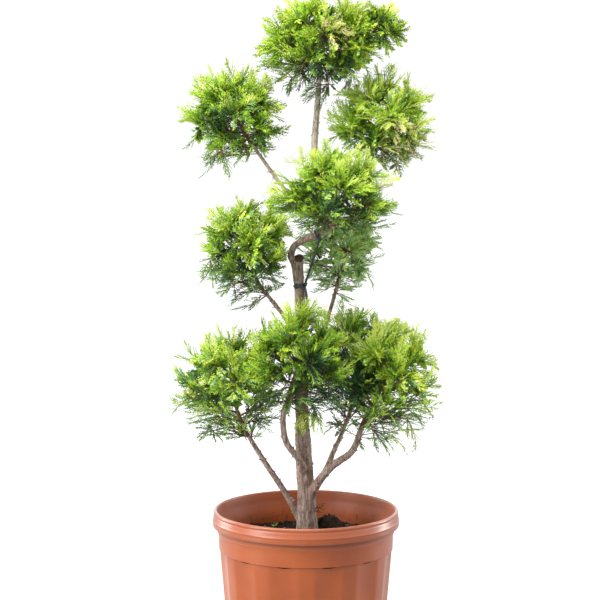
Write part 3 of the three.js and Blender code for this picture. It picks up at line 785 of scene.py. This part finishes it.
def raise_bark(mesh):
    """Moves the skin in and out: long plates and cracks that follow each limb, and a few swellings."""
    nodes = []
    for number, limb in enumerate(LIMBS.values()):
        nodes += [(*parts, number, k * LINE_STEP) for k, parts in enumerate(zip(*limb))]
    tree = KDTree(len(nodes))
    for index, node in enumerate(nodes):
        tree.insert(node[0], index)
    tree.balance()
    moved, relief = [], []
    for vertex in mesh.vertices:
        place = np.array(vertex.co) / MM
        centre, radius, heading, number, along = nodes[tree.find(place)[1]]
        offset = place - centre
        offset = offset - heading * offset.dot(heading)
        stretched = Vector(offset * 0.5 + heading * (along * 0.1) + number * 17.0)
        plate, fine = noise.noise(stretched), noise.noise(stretched * 2.7)
        band = noise.noise(Vector(offset * 0.08 + heading * (along * 0.34) + number * 31.0))
        crack = min(1, abs(plate) * 4.2, 0.35 + abs(band) * 4.5)
        swell = noise.noise(Vector(place) * 0.05)
        relief.append(min(1, max(0, 0.75 * crack + 0.25 + 0.3 * fine)))
        size = min(1, radius / 12)
        rise = (1.1 * (crack - 0.6) + 0.4 * fine) * (0.25 + 0.75 * size) + 0.9 * swell * size
        moved += [*((place + np.array(vertex.normal) * rise) * MM)]
    mesh.vertices.foreach_set("co", moved)
    mesh.attributes.new("relief", "FLOAT", "POINT").data.foreach_set("value", relief)
    mesh.update()


# Foliage


def reach_in(mass, points):
    """How far out points lie in a mass: 0 at a lobe's centre and 1 on its skin."""
    return np.min([distances((points - lobe.centre) / lobe.radii, 0) for lobe in mass.lobes], axis=0)


def own_space(mass, points, limit, trespass=0):
    """Whether points are inside a mass's reach, off the limbs, and not nearer to another mass."""
    own = reach_in(mass, points)
    free = (own < limit) & (limb_distance(points) > LIMB_MARGIN)
    for other in MASSES.values():
        if other is not mass:
            free &= reach_in(other, points) > own - trespass
    for centre, radius in CLIPPED:
        free &= distances(points, centre) > radius
    return free


def on_lobe(lobe, direction, reach):
    return lobe.centre + lobe.radii * direction * reach


def even_direction(turn, i, count):
    """One of count directions that are spread evenly over a ball."""
    lift = 1 - 2 * (i + 0.5) / count
    angle = turn + i * GOLDEN_ANGLE
    flat = math.sqrt(1 - lift * lift)
    return np.array([flat * math.cos(angle), flat * math.sin(angle), lift])


def branch_lobe(lobe, hub, draw):
    """The seeded branching of one lobe: its twigs, and three sprays on each as root, tip and roll."""
    twigs = []
    turn = draw() * TAU
    for i in range(lobe.twigs):
        direction = even_direction(turn, i, lobe.twigs)
        fork = on_lobe(lobe, direction, FORK_REACH)
        first, second = sideways(direction)
        spin = draw() * TAU
        sprays = []
        for k in range(SPRAYS_PER_TWIG):
            around = spin + k / SPRAYS_PER_TWIG * TAU
            aim = direction + SPRAY_SPREAD * (math.cos(around) * first + math.sin(around) * second)
            aim = unit(aim + (0, 0, SPRAY_LIFT))
            tip = on_lobe(lobe, aim, SPRAY_REACH_MIN + SPRAY_REACH_RANGE * draw())
            tip[2] = max(tip[2], lobe.centre[2] - LOWEST_SPRAY * lobe.radii[2])
            sprays.append((*(fork + (hub - fork) * SPRAY_ROOT_PULL), *tip, draw() * math.pi))
        twigs.append({"direction": direction, "fork": fork, "sprays": sprays})
    return twigs


def underside(mass, lobe, points):
    """0 on the upper part of a lobe and up to 1 low down on it, where the growth is thin and open."""
    fall = (lobe.centre[2] - points[..., 2]) / lobe.radii[2]
    return np.clip((fall - 0.05) / 0.6, 0, 1) * mass.openness


def more_sprays(mass, lobe, hub, twigs, low_roots, rng):
    """Finer sprays between the seeded ones, in clumps. The low ones start near the bough's tip."""
    sprays = []
    count = MORE_SPRAYS_PER_TWIG * lobe.twigs
    turn = rng.uniform(0, TAU)
    directions = np.array([twig["direction"] for twig in twigs])
    for i in range(count):
        direction = unit(even_direction(turn, i, count) + rng.normal(0, 0.09, 3))
        end = twigs[np.argmax(directions @ direction)]["end"]
        clump = noise.noise(Vector(direction * 1.9 + turn))
        wisp = rng.random() < 0.25
        reach = rng.uniform(0.74, 0.94) * (1 + 0.2 * clump) + 0.15 * wisp
        tip = on_lobe(lobe, unit(direction + (0, 0, 0.06)), reach)
        lowest = lobe.centre[2] - lobe.radii[2] * (mass.depth - rng.uniform(0, 0.45))
        if tip[2] < lowest:
            tip[:2] += unit(direction[:2]) * min(12, lowest - tip[2])
            tip[2] = lowest
        low = underside(mass, lobe, tip)
        if rng.random() < 0.45 * low:
            continue
        root = hub + (end - hub) * rng.uniform(0.45, 0.88)
        root = root + (low_roots[rng.integers(len(low_roots))] - root) * low**0.7 * 0.9
        sprays.append((*root, *tip, rng.uniform(0, math.pi)))
    return sprays


def loose_sprays(tips, twigs, low_roots, rng):
    """A few sprays to each tip that stands out by itself, from the nearest place that bears some."""
    sprays = []
    ends = np.array([*low_roots, *(twig["end"] for twig in twigs)])
    for tip in tips:
        root = ends[np.argmin(distances(ends, tip))]
        for spread in (4, 11, 14, 17):
            sprays.append((*root, *(tip + rng.normal(0, spread, 3)), rng.uniform(0, math.pi)))
    return sprays


def inner_sprays(mass, lobe, hub, twigs, rng):
    """Shaded sprays from the nearest twig to points spread evenly through a mass's heart."""
    arms = np.array([twig["end"] for twig in twigs]) - hub
    sprays = []
    for _ in range(INNER_SPRAYS_PER_TWIG * len(twigs)):
        tip = on_lobe(lobe, unit(rng.normal(size=3)), INNER_REACH * rng.random() ** (1 / 3))
        if rng.random() < 1.2 * underside(mass, lobe, tip):
            continue
        share = np.clip(arms @ (tip - hub) / np.sum(arms * arms, axis=1), 0.15, 0.8)
        feet = hub + arms * share[:, None]
        root = feet[np.argmin(distances(feet, tip))]
        out = tip - root
        tip = root + out * max(1, 0.3 * lobe.radii[0] / np.linalg.norm(out))
        sprays.append((*root, *tip, rng.uniform(0, math.pi)))
    return sprays


def slivers(base, tip, side, width, thickness=0.8):
    """Slim closed leaves, four faces each: base and tip below, and the two edges raised."""
    axis = unit(tip - base)
    side = unit(side - axis * np.sum(side * axis, axis=-1, keepdims=True))
    raised = base + 0.4 * (tip - base) + np.cross(axis, side) * thickness
    points = np.stack([base, tip, raised + side * width / 2, raised - side * width / 2], axis=1)
    pattern = np.array([(0, 1, 2), (1, 0, 3), (0, 2, 3), (1, 3, 2)])
    faces = pattern + 4 * np.arange(len(base))[:, None, None]
    return points.reshape(-1, 3), faces.reshape(-1, 3)


def spray_frames(sprays, rng):
    """Each spray's root, length, axes and bow, as arrays of one row a spray."""
    root, tip, roll = sprays[:, :3], sprays[:, 3:6], sprays[:, 6:]
    length = np.linalg.norm(tip - root, axis=1)[:, None]
    ahead = (tip - root) / length
    first, second = sideways(ahead)
    side = first * np.cos(roll) + second * np.sin(roll)
    lift = (0, 0, 1) - ahead * ahead[:, 2:]
    bow = lift * rng.uniform(-0.05, 0.15, roll.shape) + side * rng.normal(0, 0.05, roll.shape)
    return [part[:, None] for part in (root, length, ahead, side, np.cross(ahead, side), bow)]


def along_spray(frames, t):
    """Points on the bowed axes of the sprays, for shares t of their lengths."""
    root, length, ahead, _, _, bow = frames
    return root + length * (ahead * t + bow * 4 * t * (1 - t))


def spray_stalks(mass, frames, growth):
    """A thin stalk along each spray, green near the skin and brown below and in the heart."""
    paths = along_spray(frames, np.linspace(0, 0.95, 6)[:, None])
    free = own_space(mass, paths[:, -1], growth.limit)
    green = int(growth is OUTER_GROWTH)
    return [tube(path, (0.9, 0.3), 3, green) for path in paths[free]]


def in_turn(count):
    """Numbers for things in a row, and 1 and -1 by turns for the side that each grows on."""
    order = np.arange(count)[:, None]
    return order, np.where(order % 2 == 0, 1.0, -1.0)


def grow_leaves(mass, sprays, frames, growth, rng):
    """Plumes on both sides of each spray's axis, and leaves on both sides of each plume."""
    _, length, ahead, side, above, bow = frames
    one_each, shape = (len(sprays), 1, 1), (len(sprays), growth.plumes, 1)
    low = underside(mass, mass.lobes[0], sprays[:, 3:6]).reshape(one_each)
    order, hand = in_turn(growth.plumes)
    t = growth.start + (0.98 - growth.start) * (order + rng.uniform(0, 0.9, shape)) / growth.plumes
    origin = along_spray(frames, t)
    forward = unit(ahead + bow * 4 * (1 - 2 * t))
    opening = np.radians(growth.opening * (1 - 0.55 * t) + rng.uniform(-9, 9, shape))
    tilt = rng.uniform(-0.35, 0.35, shape)
    heading = unit(forward * np.cos(opening) + hand * side * np.sin(opening) + above * tilt)
    taper = growth.spread * (0.2 + 1.2 * (1 - t) ** 0.8) * np.minimum(1, 0.7 + 1.5 * t)
    reach = length * taper * rng.uniform(0.65, 1.3, shape)
    curl = (forward + (0, 0, 0.35)) * reach * rng.uniform(0.1, 0.4, shape)
    free = own_space(mass, origin + heading * reach * 0.2, growth.limit)
    free &= own_space(mass, origin + heading * reach + curl, growth.limit, TRESPASS)
    above = np.broadcast_to(above, heading.shape)
    change = rng.normal(0, 0.12, one_each) + rng.normal(0, 0.07, shape)
    bias = rng.normal(0, 0.35, one_each)
    gold = rng.random(shape) < mass.gold + bias
    # More bluish plumes low on a mass: painted shade on its underside
    blue = rng.random(shape) < mass.blue + 0.75 * low + bias / 3
    family = np.where(blue, BLUE, np.where(gold, GOLD, GREEN))
    plumes = [part[free] for part in (origin, heading, curl, above, reach, change, family)]
    return grow_plumes(mass, growth, rng, *plumes)


def grow_plumes(mass, growth, rng, origin, heading, curl, above, reach, change, family):
    """A stalk and its leaves for each plume, with the triangles' tints."""
    change, family = change[:, 0], family[:, 0]
    beside = unit(np.cross(above, heading))
    end = origin + heading * reach * 0.95 + curl * 0.9
    stalks = slivers(origin, end, beside, growth.width)
    count, plume = len(origin), np.repeat(np.arange(len(origin)), growth.leaves)
    shape = (count, growth.leaves, 1)
    order, hand = in_turn(growth.leaves)
    share = (0.1 + 0.86 * (order + rng.uniform(0, 0.8, shape)) / growth.leaves).reshape(-1, 1)
    hand = np.tile(hand, (count, 1))
    base = origin[plume] + heading[plume] * reach[plume] * share + curl[plume] * share**2
    opening = np.radians(rng.uniform(14, 36, shape)).reshape(-1, 1)
    tilt = rng.uniform(-0.25, 0.25, shape).reshape(-1, 1)
    across = hand * beside[plume] * np.sin(opening) + above[plume] * tilt
    aim = unit(heading[plume] * np.cos(opening) + across)
    length = (3.2 + 0.14 * reach[plume]) * (1.15 - 0.5 * share) * rng.uniform(0.75, 1.25, share.shape)
    tips = base + aim * length * growth.length
    leaves = slivers(base, tips, beside[plume], growth.width)
    stalk_tints = leaf_tints(mass, (origin + end) / 2, change, family, rng.random(count))
    change = change[plume] + rng.normal(0, 0.09, len(plume))
    tints = leaf_tints(mass, tips, change, family[plume], rng.random(count)[plume])
    return [(*stalks, np.repeat(stalk_tints, 4)), (*leaves, np.repeat(tints, 4))]


def leaf_tints(mass, points, change, family, odd):
    """Each leaf's tint: paler further out and higher up, partly own colour and partly painted light, a
    little different from plume to plume.
    """
    lobe = mass.lobes[0]
    outward = np.clip((reach_in(mass, points) - 0.5) / 0.45, 0, 1)
    height = np.clip((points[:, 2] - lobe.centre[2]) / lobe.radii[2], -1.1, 1.1)
    # Painted light and shade: outer and upper leaves lighter, inner and lower ones darker
    light = 0.14 + outward**1.3 * (0.46 + 0.2 * height) + 0.08 * height + mass.light + change
    # Painted light on sunlit sprays and painted shade in deep hollows, where the shaded leaves also turn
    # bluish
    for spot, radius, shift in PAINTED_LIGHT_AND_SHADE_SPOTS:
        nearness = np.clip(1.6 * (1 - distances(points, spot) / radius), 0, 1)
        light = light + shift * nearness
        family = np.where(nearness > odd, GREEN if shift > 0 else BLUE, family)
    tint = np.clip((light * TINT_STEPS).astype(int), 0, TINT_STEPS - 1) + TINT_STEPS * family
    for spot, radius in STRAW_SPOTS:
        near = distances(points, spot) < radius
        tint = np.where(near & (odd < 0.5) & (outward > 0.4), STRAW, tint)
    return np.where((odd > 0.992) & (outward < 0.7), RUST, tint)


def make_twigs(hub, twigs, stem, rng):
    """A bent twig from the stem to each fork and a little past it, where finer sprays start."""
    parts = []
    for twig in twigs:
        share = np.clip(0.55 + 0.4 * twig["direction"][2], 0.18, 0.95)
        start = bezier([share], *stem)[0]
        twig["end"] = hub + (twig["fork"] - hub) * 1.25
        knee = start + (twig["fork"] - start) * 0.5 + rng.normal(0, 2.5, 3)
        parts.append(tube(bezier(np.linspace(0, 1, 7), start, knee, twig["end"]), (1.7, 0.7), 5))
    return parts


def make_mass(place, leaf_materials, twig_materials):
    """A mass's leaves and its twigs, on a stem that carries on from the limb below it."""
    mass, bearer = MASSES[place], LIMBS.get(place, LIMBS["trunk"])
    draw, rng = random_source(mass.seed), np.random.default_rng(mass.seed)
    hubs = [lobe.centre + np.array((0, 0, CORE_LIFT * lobe.radii[2])) for lobe in mass.lobes]
    branching = [branch_lobe(lobe, hub, draw) for lobe, hub in zip(mass.lobes, hubs)]
    tip, centre = bearer.line[-1], hubs[0]
    bend = tip + unit(tip - bearer.line[-3]) * STEM_BEND * np.linalg.norm(centre - tip)
    stem, path = (tip, bend, centre), bezier(np.linspace(0, 1, 12), tip, bend, centre)
    parts = [tube(path, (bearer.radii[-1] * 0.96, STEM_END_RADIUS), 8)]
    low_roots, tips = [*bearer.line[-LOW_ROOT_RUN:], *path[:5]], mass.loose
    outer, inner = [], []
    for lobe, hub, twigs in zip(mass.lobes, hubs, branching):
        if hub is not centre:
            bridge = bezier(np.linspace(0, 1, 8), centre, (centre + hub) / 2 - (0, 0, 6), hub)
            parts.append(tube(bridge, (2.2, 1.4), 6))
            stem, low_roots, tips = (hub, hub, hub), [hub], []
        parts += make_twigs(hub, twigs, stem, rng)
        for twig in twigs:
            outer += twig["sprays"]
        outer += more_sprays(mass, lobe, hub, twigs, low_roots, rng)
        outer += loose_sprays(tips, twigs, low_roots, rng)
        inner += inner_sprays(mass, lobe, hub, twigs, rng)
    outer, inner = np.array(outer), np.array(inner)
    fan = underside(mass, mass.lobes[0], outer[:, 3:6]) >= FAN_FROM
    upper_growth = FAN_GROWTH if mass.fine else OUTER_GROWTH
    leaves = []
    for sprays, growth in ((outer[~fan], upper_growth), (outer[fan], FAN_GROWTH), (inner, INNER_GROWTH)):
        frames = spray_frames(sprays, rng)
        parts += spray_stalks(mass, frames, growth)
        leaves += grow_leaves(mass, sprays, frames, growth, rng)
    leaves = new_piece(f"{place}_leaves", leaves, leaf_materials, smooth=False)
    return leaves, new_piece(f"{place}_twigs", parts, twig_materials)


# The rest


def ring_turns(centre, axis, radius, turns, pitch):
    """A few turns of a strand round a limb."""
    axis = unit(axis)
    angles = np.linspace(0, turns * TAU, int(16 * turns))
    advance = np.outer((angles / TAU - turns / 2) * pitch, axis)
    return np.array(centre) + radius * ring(angles, *sideways(axis)) + advance


def make_tie(material):
    """A soft strand that holds the trunk's bend down to a band round the trunk."""
    line, radii, headings = LIMBS["trunk"]
    at = np.argmin(np.abs(line[:, 2] - TIE_BAND_HEIGHT))
    held = np.argmin(distances(line, TIE_STRAND[-1]))
    band = ring_turns(line[at], (-0.45, 0.15, 1), radii[at] - TIE_SUNK + TIE_RADIUS, 3.4, 2.4)
    loop = ring_turns(line[held], headings[held], radii[held] + TIE_RADIUS, 1.6, 2.6)
    knot = ring_turns(np.array(TIE_STRAND[0]) + (1, -3.5, 1), (1, 0.6, 0.2), 1.6, 1.5, 2)
    lines = [band, loop, knot, curve_through(TIE_STRAND), curve_through(TIE_TAIL)]
    strands = [tube(path, TIE_RADIUS, 10) for path in lines]
    strands.append(tube(curve_through(TIE_END), (TIE_RADIUS, TIE_END_RADIUS), 10))
    return new_piece("tie_strand", strands, [material])


def make_knot_face(material):
    """The dark, weathered face of the cut."""
    cut, out = np.array(CUT_FACE["centre"]), unit(CUT_FACE["heading"])
    line = [cut + out * rise for rise in (-2, 0, 0.9, 1.3, 1.2)]
    radii = CUT_FACE["radius"] * np.array([1, 1.02, 0.98, 0.8, 0.3])
    points, triangles, _ = tube(line, radii, 24)
    offsets = points - cut
    first, second = sideways(out)
    around = np.arctan2(offsets @ second, offsets @ first)
    uneven = 0.06 + 0.03 * np.sin(2 * around + 1) + 0.04 * np.sin(5 * around)
    return new_piece("knot_face", [(cut + offsets * (1 + uneven)[:, None], triangles, 0)], [material])


def make_dry_twigs(material):
    """A dead, broken side shoot low on the trunk."""
    girths = [1.1] + [0.7] * (len(DRY_TWIGS) - 1)
    parts = [tube(curve_through(line), (girth, 0.3), 6) for line, girth in zip(DRY_TWIGS, girths)]
    return new_piece("dry_twigs", parts, [material])


def make_seedling(material):
    """A pale seedling in the soil."""
    foot = np.array([(-47.4, 70, 192), (-47.0, 69.5, 196), (-47.0, 69.5, 196)])
    tips = np.array([(-47.0, 69.5, 197), (-42.5, 67, 204), (-52.5, 68, 200)])
    sides = np.array([(1.0, 0, 0), (0.6, 0.2, -0.6), (0.5, 0.3, 0.8)])
    return new_piece("seedling", [(*slivers(foot, tips, sides, 3.4, 0.7), 0)], [material], smooth=False)


# Stage, light and camera


def make_stage():
    """A mid-grey floor that glows white for the camera only."""
    material, shader = new_material("floor_white", 0.9, 0.1, (0.4, 0.4, 0.4, 1))
    feed(shader, "Emission Color", (1, 1, 1, 1))
    seen = Value(add_node(shader.id_data, "LightPath"), "Is Camera Ray")
    feed(shader, "Emission Strength", seen * 0.9)
    corners = [(-9000, -9000, 0), (9000, -9000, 0), (9000, 9000, 0), (-9000, 9000, 0)]
    floor = new_piece("floor", [(corners, [(0, 1, 2), (0, 2, 3)], 0)], [material], smooth=False)


def make_light():
    """A white world, brighter to the camera and in reflections, and the softboxes."""
    scene = bpy.context.scene
    scene.world = bpy.data.worlds.new("studio")
    scene.world.use_nodes = True
    background = scene.world.node_tree.nodes["Background"]
    feed(background, "Color", (1, 1, 1, 1))
    ray = add_node(background.id_data, "LightPath")
    seen, mirrored = Value(ray, "Is Camera Ray"), Value(ray, "Is Glossy Ray")
    feed(background, "Strength", seen * 0.6 + mirrored * 1.4 + 0.45)
    for name, (place, aim, size, power) in SOFTBOXES.items():
        light = bpy.data.lights.new(name, "AREA")
        light.shape = "RECTANGLE"
        light.size, light.size_y = size
        light.energy = power
        lamp = put(name, light)
        lamp.location = place
        lamp.rotation_euler = (Vector(aim) - Vector(place)).to_track_quat("-Z", "Y").to_euler()
    scene.view_settings.view_transform = "Standard"


def make_camera():
    data = bpy.data.cameras.new("camera")
    data.lens = FOCAL_PIXELS / PHOTO_WIDTH * data.sensor_width
    data.clip_end = 100
    camera = put("camera", data)
    camera.location = Vector(CAMERA_PLACE) * MM
    camera.rotation_euler = (math.radians(90 - CAMERA_PITCH), 0, 0)
    bpy.context.scene.camera = camera


def keep(piece, slot, *nodes):
    """The piece rides on the part and hides the nodes that it stands for. The slot is not used."""
    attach(piece, BODY)
    if nodes:
        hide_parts(*nodes)


make_camera()
make_light()
make_stage()

leaf_materials = []
for family, colours in LEAF_TINTS.items():
    for k, colour in enumerate(colours):
        leaf_materials.append(new_material(f"leaf_{family}_{k}", 0.55, 0.25, srgb(*colour))[0])
twig_brown, _ = new_material("twig_brown", 0.75, 0.3, srgb(112, 84, 64))
twig_green, _ = new_material("twig_green", 0.75, 0.3, srgb(110, 122, 48))
seedling_green, _ = new_material("leaf_seedling", 0.55, 0.25, srgb(150, 200, 70))
crumb_materials = [make_crumb_material(f"crumb_{k}", colour) for k, colour in enumerate(CRUMB_COLOURS)]

keep(make_pot(make_pot_material()), "pot", "pot")
keep(make_soil(make_soil_material()), "soil", "soil")
keep(make_crumbs(crumb_materials), "soil")
keep(make_bark(make_bark_material()), "bark", "trunk", *[f"{place}_bough" for place in BOUGHS])
keep(make_dry_twigs(make_crumb_material("dry_wood", (60, 46, 38))), "bark")
keep(make_knot_face(make_crumb_material("cut_wood", (98, 80, 68))), "bark")
keep(make_tie(make_tie_material()), "tie", "training_tie")
keep(make_seedling(seedling_green), "foliage")
for place in MASSES:
    leaves, twigs = make_mass(place, leaf_materials, [twig_brown, twig_green])
    keep(leaves, "foliage", f"{place}_foliage")
    keep(twigs, "bark")
